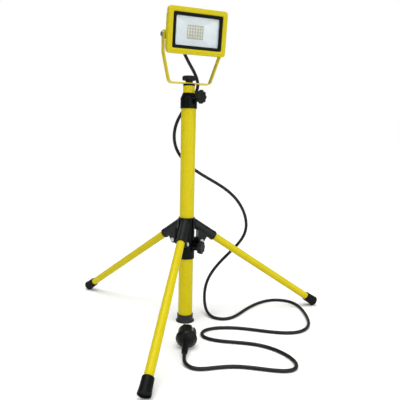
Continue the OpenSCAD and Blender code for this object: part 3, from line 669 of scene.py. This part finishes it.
# reflector: four pressed slopes down to the LED array, as (width, height, corner radius, y)
DISH_STEPS = 8
dish = []
for k in range(DISH_STEPS + 1):
    u = k / DISH_STEPS
    dish.append((98 - 62 * u, 60 - 32 * u, 2.6 - 1.6 * u, -21.0 + 10.1 * u ** 0.94))
backs = [(w + 1.0, h + 1.0, r + 0.4, y + 0.55) for w, h, r, y in reversed(dish)]
flange = [(107.2, 69.2, 3.6, -21.4), (99.6, 61.6, 3.0, -21.4), (98.6, 60.6, 2.8, -21.25)]
flange_back = [(107.2, 69.2, 3.6, -20.5)]
publish("reflector_pressing", lofted(flange + dish + backs + flange_back), "lamp", "reflector_metal",
        ["reflector"], LAMP, sharp=30)
softened("led_board", 0.15)

# LED chips: a cream carrier with a rounded phosphor pad, and the tinned tracks between them
carriers, pads, tracks = bmesh.new(), bmesh.new(), bmesh.new()
for i in range(LED_COLUMNS):
    for k in range(LED_ROWS):
        x = (i - (LED_COLUMNS - 1) / 2) * LED_PITCH_X
        z = (k - (LED_ROWS - 1) / 2) * LED_PITCH_Z
        box(carriers, (x - 1.9, -10.55, z - 1.9), (x + 1.9, -10.02, z + 1.9))
        box(pads, (x - 1.3, -10.85, z - 1.5), (x + 1.3, -10.45, z + 1.5))
        if k < LED_ROWS - 1:
            box(tracks, (x - 0.45, -10.1, z + 1.7), (x + 0.45, -9.98, z + 4.7))
bmesh.ops.bevel(carriers, geom=list(carriers.edges), offset=0.12, segments=1, affect="EDGES")
bmesh.ops.bevel(pads, geom=list(pads.edges), offset=0.18, segments=3, affect="EDGES")
publish("led_carriers", carriers, "lamp", "board_white", (), LAMP)
publish("led_phosphor_pads", pads, "lamp", "led_phosphor", ["led_chips"], LAMP)
publish("led_tracks", tracks, "lamp", "nickel_plate", (), LAMP)

softened("lamp_housing", 0.55, segments=2)
softened("driver_cover", 0.7, segments=3)
softened("led_driver", 0.8, segments=3)


def pan_head(radius=2.8, height=1.7):
    """Pan head with a hexagon socket, from z = 0 upward."""
    profile = [(0, 0), (radius * 0.86, 0), (radius, 0.35), (radius * 0.97, height * 0.5),
               (radius * 0.8, height * 0.85), (radius * 0.55, height), (1.3, height),
               (1.15, height * 0.35), (0, height * 0.3)]
    return lathe(profile, 40, socket_shape)


def rearward(x, y, z):
    """Frame with Z towards the lamp's back at a point."""
    return Matrix.Translation((x, y, z)) @ Matrix.Rotation(-math.pi / 2, 4, "X")


def back_screws(name, node_name, xs, zs, head_y, tip_y, length):
    """Pan-head screws that go into the lamp from behind, at every x and z."""
    parts = []
    for x in xs:
        for z in zs:
            parts.append((pan_head(), rearward(x, head_y, z)))
            parts.append((pin(1.6, 0, length), rearward(x, tip_y, z)))
    publish(name, gathered(parts), "lamp", "zinc_steel", [node_name], LAMP)


back_screws("cover_screw_heads", "cover_screws", (-30, 30), (-8, 30), 28.62, 24.8, 4.0)
back_screws("frame_screw_heads", "frame_screws", (-57, 57), (-38, 38), -2.9, -18.2, 15.2)

# pivot bolts, with a hexagon socket in a button head
parts = []
for side in (1, -1):
    outward = (Matrix.Translation((side * PIVOT_OUT, 0, -LAMP_RISE))
               @ Matrix.Rotation(side * math.pi / 2, 4, "Y"))
    parts.append((lathe(bolt_head(5.0, 2.5), 48, socket_shape), outward))
    parts.append((pin(3, -16, 0.2, 32), outward))
publish("pivot_bolt_heads", gathered(parts), "lamp", "zinc_steel", ["pivot_bolts"], LAMP,
        finish="dark_steel")
softened("pivot_washers", 0.15)

# cord gland
GLAND = LAMP @ Matrix.Translation((-23.6, 18.5, 0))
softened("gland_body", 0.3)


def gland_ridges(a, r, z):
    """Fourteen shallow grip ridges on the nut's outside."""
    return r if r < 5.6 else r - 0.35 * (0.5 + 0.5 * math.cos(14 * a))


turned("gland_cap_nut", [(4.3, -23), (5.8, -23), (6.2, -22.6), (6.5, -21), (7.1, -16.2), (7.0, -15.4),
                         (5.02, -15.1), (5.02, -20.8), (4.3, -21)],
       "lamp", "black_plastic", ["gland_nut"], GLAND, 120, gland_ridges)
# the sleeve leans towards the cord's first stretch
SLEEVE_ROOT = GLAND @ Matrix.Translation((0, 0, -22))
SLEEVE = (SLEEVE_ROOT @ Matrix.Rotation(math.radians(152), 4, "Y")
          @ Matrix.Rotation(math.radians(8), 4, "X"))


def ribbed_sleeve(z0, z1, r0, r1, bore, ribs, depth):
    """Tapered rubber sleeve with ring grooves, as (radius, z)."""
    points = [(bore, z0), (r0 - 0.3, z0), (r0, z0 + 0.3)]
    pitch = (z1 - z0 - 2.0) / ribs
    for k in range(ribs):
        for share, cut in ((0.15, 0), (0.3, 0), (0.42, depth), (0.8, depth), (0.92, 0)):
            z = z0 + 1.0 + pitch * (k + share)
            points.append((r0 + (r1 - r0) * (z - z0) / (z1 - z0) - cut, z))
    return points + [(r1 - 0.3, z1), (bore, z1)]


gland_grip = lathe([(0, -5), (3.9, -5), (4.2, -4.7), (4.2, 0.6), (3.9, 0.9), (0, 0.9)], 48)
gland_cone = lathe(ribbed_sleeve(4.4, 21, 5.6, 4.6, 3.8, 5, 0.75), 96, closed=True)
publish("gland_strain_relief", gathered([(gland_grip, SLEEVE_ROOT), (gland_cone, SLEEVE)]), "lamp",
        "black_rubber", ["gland_sleeve"])

# ---------------------------------------------------------------- plug

# the plug lies on the edge of its rim and on the cord, with its pins a little up
PLUG_TIP = math.radians(12)
RIM_Z = PLUG_R * math.cos(PLUG_TIP) + 2 * math.sin(PLUG_TIP)
PLUG = (Matrix.Translation((-47, -141.5, RIM_Z)) @ Matrix.Rotation(math.radians(66), 4, "Z")
        @ Matrix.Rotation(math.pi / 2 - PLUG_TIP, 4, "Y") @ Matrix.Rotation(math.radians(40), 4, "Z"))


def plug_shape(a, r, z):
    """Two notches beside the earth clips, and finger ribs on the back."""
    if z > 4.5 and r > 15.2 and abs(math.remainder(a, math.pi)) < math.radians(9.5):
        return r - 2.1
    if z < -3 and r > 9.9:
        return r - 0.35 * (0.5 + 0.5 * math.cos(18 * a))
    return r


plug_body = turned("plug_moulding", [
    (6.1, -11.5), (8.3, -11.5), (9.4, -11.0), (10.4, -10.2), (12.6, -9.6), (15.2, -8.0), (17.2, -5.6),
    (18.6, -3.0), (19.2, -2.3), (20.2, -2.0), (20.8, -1.6), (PLUG_R, -0.9), (PLUG_R, 0.9), (20.8, 1.6),
    (20.2, 2.0), (19.0, 2.1), (18.6, 2.5), (18.5, 3.2), (18.5, 4.4), (18.5, 4.7), (18.5, 12),
    (18.5, 21.0), (18.2, 21.7), (17.5, 22), (15.4, 22), (14.7, 21.7), (14.5, 21.2), (14.5, 6.0),
    (6.1, 6.0)], "stand", "plug_rubber", ["plug_body"], PLUG, 144, plug_shape)
plug_face = softened("plug_insert", 0.5)
plug_pins = softened("plug_pins", 0.0)

# earth clips: two bowed strips, drawn as (radius, z) along the plug
CLIP_PATH = [(16.9, 5.4), (17.5, 6.6), (17.9, 9.0), (18.0, 13.0), (17.7, 17.0), (17.1, 19.4), (16.3, 20.4)]
CLIP_HALF_WIDTH, CLIP_THICK = 2, 0.55
clips = bmesh.new()
for side in (1, -1):
    for span in zip(CLIP_PATH, CLIP_PATH[1:]):
        edges = [(r, y, z) for r, z in span for y in (-CLIP_HALF_WIDTH, CLIP_HALF_WIDTH)]
        v = [clips.verts.new((side * r, y, z)) for r, y, z in edges]
        w = [clips.verts.new((side * (r - CLIP_THICK), y, z)) for r, y, z in edges]
        clips.faces.new((v[0], v[1], v[3], v[2]))
        clips.faces.new((w[0], w[2], w[3], w[1]))
        clips.faces.new((v[0], v[2], w[2], w[0]))
        clips.faces.new((v[1], w[1], w[3], v[3]))
bmesh.ops.remove_doubles(clips, verts=clips.verts, dist=0.001)
bmesh.ops.holes_fill(clips, edges=[e for e in clips.edges if len(e.link_faces) == 1])
plug_clips = publish("plug_earth_springs", clips, "stand", "nickel_plate", ["plug_earth_clips"], PLUG)
plug_relief = turned("plug_strain_relief", ribbed_sleeve(-45, -10.6, 5.6, 7.9, 3.6, 7, 1.1), "stand",
                     "plug_rubber", ["plug_sleeve"], PLUG)

# ---------------------------------------------------------------- the cord follows the lamp and the mast


def smooth(x):
    x = min(max(x, 0.0), 1.0)
    return x * x * (3 - 2 * x)


def follower(name, at, target, axis, share):
    """An empty that stays in place and turns about one axis by a share of a body's turn."""
    empty = bpy.data.objects.new(name, None)
    empty.location = Vector(at) * MM
    scene.collection.objects.link(empty)
    copy = empty.constraints.new("COPY_ROTATION")
    copy.target = frame["bodies"][target]
    copy.use_x, copy.use_y, copy.use_z = (axis == k for k in "XYZ")
    copy.influence = share
    return empty


def hook_cord(name, target, weight):
    """Moves the cord with a target, by a weight that depends on the height at rest in millimetres."""
    group = cord.vertex_groups.new(name=name)
    sides = len(cord.data.vertices) // len(cord_line)
    for ring, point in enumerate(cord_line):
        share = weight(point.z)
        if share > 0:
            group.add(range(ring * sides, (ring + 1) * sides), share, "REPLACE")
    hook = cord.modifiers.new(name, "HOOK")
    hook.object = target
    hook.matrix_inverse = target.matrix_world.inverted()
    hook.vertex_group = name


def step_up(low, high):
    return lambda z: smooth((z - low) / (high - low))


# the turns are shared out over short stretches of the cord, so that it winds around the mast
TILT_STEPS, PAN_STEPS = 3, 10
CORD_TILTS = (536, 597)     # heights between which the cord takes up the lamp's tilt
CORD_PANS = (395, 480)      # and the yoke's turn, below the collar's knob
CORD_LIFT = (45, 485)       # and the height of the upper mast, from the floor up
tilter = follower("cord_tilt", (LAMP_X, 0, TILT_Z), "lamp", "X", 1 / TILT_STEPS)
panner = follower("cord_pan", (0, 0, 0), "yoke", "Z", 1 / PAN_STEPS)
bpy.context.view_layer.update()
for target, steps, (low, high) in ((tilter, TILT_STEPS, CORD_TILTS), (panner, PAN_STEPS, CORD_PANS)):
    band = (high - low) / (steps + 1)
    for k in range(steps):
        hook_cord("%s_%d" % (target.name, k), target, step_up(low + k * band, low + (k + 2) * band))


def lifted(z):
    """The share of the upper mast's height that the cord takes up."""
    low, high = CORD_LIFT
    return min(max((z - low) / (high - low), 0), 1) ** 2


hook_cord("cord_lift", frame["bodies"]["upper_mast"], lifted)

# ---------------------------------------------------------------- the rest of the CAD's own shapes

EDGE_WIDTHS = {"hub": 0.6, "hub_clamp_nut": 0.2, "leg_nuts": 0.35, "hub_clamp_screw": 0.3,
               "collar_clamp_nut": 0.2, "collar_clamp_screw": 0.3, "mast_guide": 0.5, "mast_cap": 0.5,
               "yoke_stud": 0.5, "yoke": 0.45, "yoke_knob_nut": 0.3}
for node_name, width in EDGE_WIDTHS.items():
    softened(node_name, width)

# ---------------------------------------------------------------- studio


def floor_finish():
    m, t, s = new_material("studio_floor")
    paper = tinted(t, noise(t, 6, 2), (0.895, 0.895, 0.895), (0.91, 0.91, 0.91))
    t.links.new(paper, s.inputs["Base Color"])
    s.inputs["Roughness"].default_value = 0.7
    s.inputs["Specular IOR Level"].default_value = 0.2
    return m


FLOOR_REACH = 30  # in metres
floor_mesh = bpy.data.meshes.new("studio_floor")
corners = [(x * FLOOR_REACH, y * FLOOR_REACH, 0) for x, y in ((-1, -1), (1, -1), (1, 1), (-1, 1))]
floor_mesh.from_pydata(corners, [], [(0, 1, 2, 3)])
floor_mesh.materials.append(floor_finish())
floor = bpy.data.objects.new("studio_floor", floor_mesh)
scene.collection.objects.link(floor)

world = bpy.data.worlds.new("studio")
scene.world = world
world.use_nodes = True
wt = world.node_tree
wt.nodes.clear()
seen = node(wt, "ShaderNodeBackground", Color=(1, 1, 1, 1), Strength=1.0)
lit = node(wt, "ShaderNodeBackground", Color=(0.97, 0.985, 1, 1), Strength=0.30)
ray = node(wt, "ShaderNodeLightPath")
pick = node(wt, "ShaderNodeMixShader")
wt.links.new(ray.outputs["Is Camera Ray"], pick.inputs["Fac"])
wt.links.new(lit.outputs["Background"], pick.inputs[1])
wt.links.new(seen.outputs["Background"], pick.inputs[2])
world_out = node(wt, "ShaderNodeOutputWorld")
wt.links.new(pick.outputs["Shader"], world_out.inputs["Surface"])


def sun(name, direction, strength, softness):
    data = bpy.data.lights.new(name, "SUN")
    data.energy = strength
    data.angle = math.radians(softness)
    obj = bpy.data.objects.new(name, data)
    obj.rotation_euler = Vector(direction).to_track_quat("-Z", "Y").to_euler()
    scene.collection.objects.link(obj)


def softbox(name, at, look, size, power):
    data = bpy.data.lights.new(name, "AREA")
    data.shape = "RECTANGLE"
    data.size, data.size_y = size
    data.energy = power
    obj = bpy.data.objects.new(name, data)
    obj.location = at
    obj.rotation_euler = (Vector(look) - Vector(at)).to_track_quat("-Z", "Y").to_euler()
    scene.collection.objects.link(obj)


sun("overhead", (0.1, 0.15, -1), 2.6, 50)
sun("frontal", (-0.12, 1, -0.35), 1.35, 60)
softbox("left_strip", (-1.6, -0.9, 0.9), (0, 0, 0.35), (0.5, 1.8), 7)
softbox("right_strip", (1.5, -1.3, 0.9), (0, 0, 0.35), (0.7, 1.8), 9)
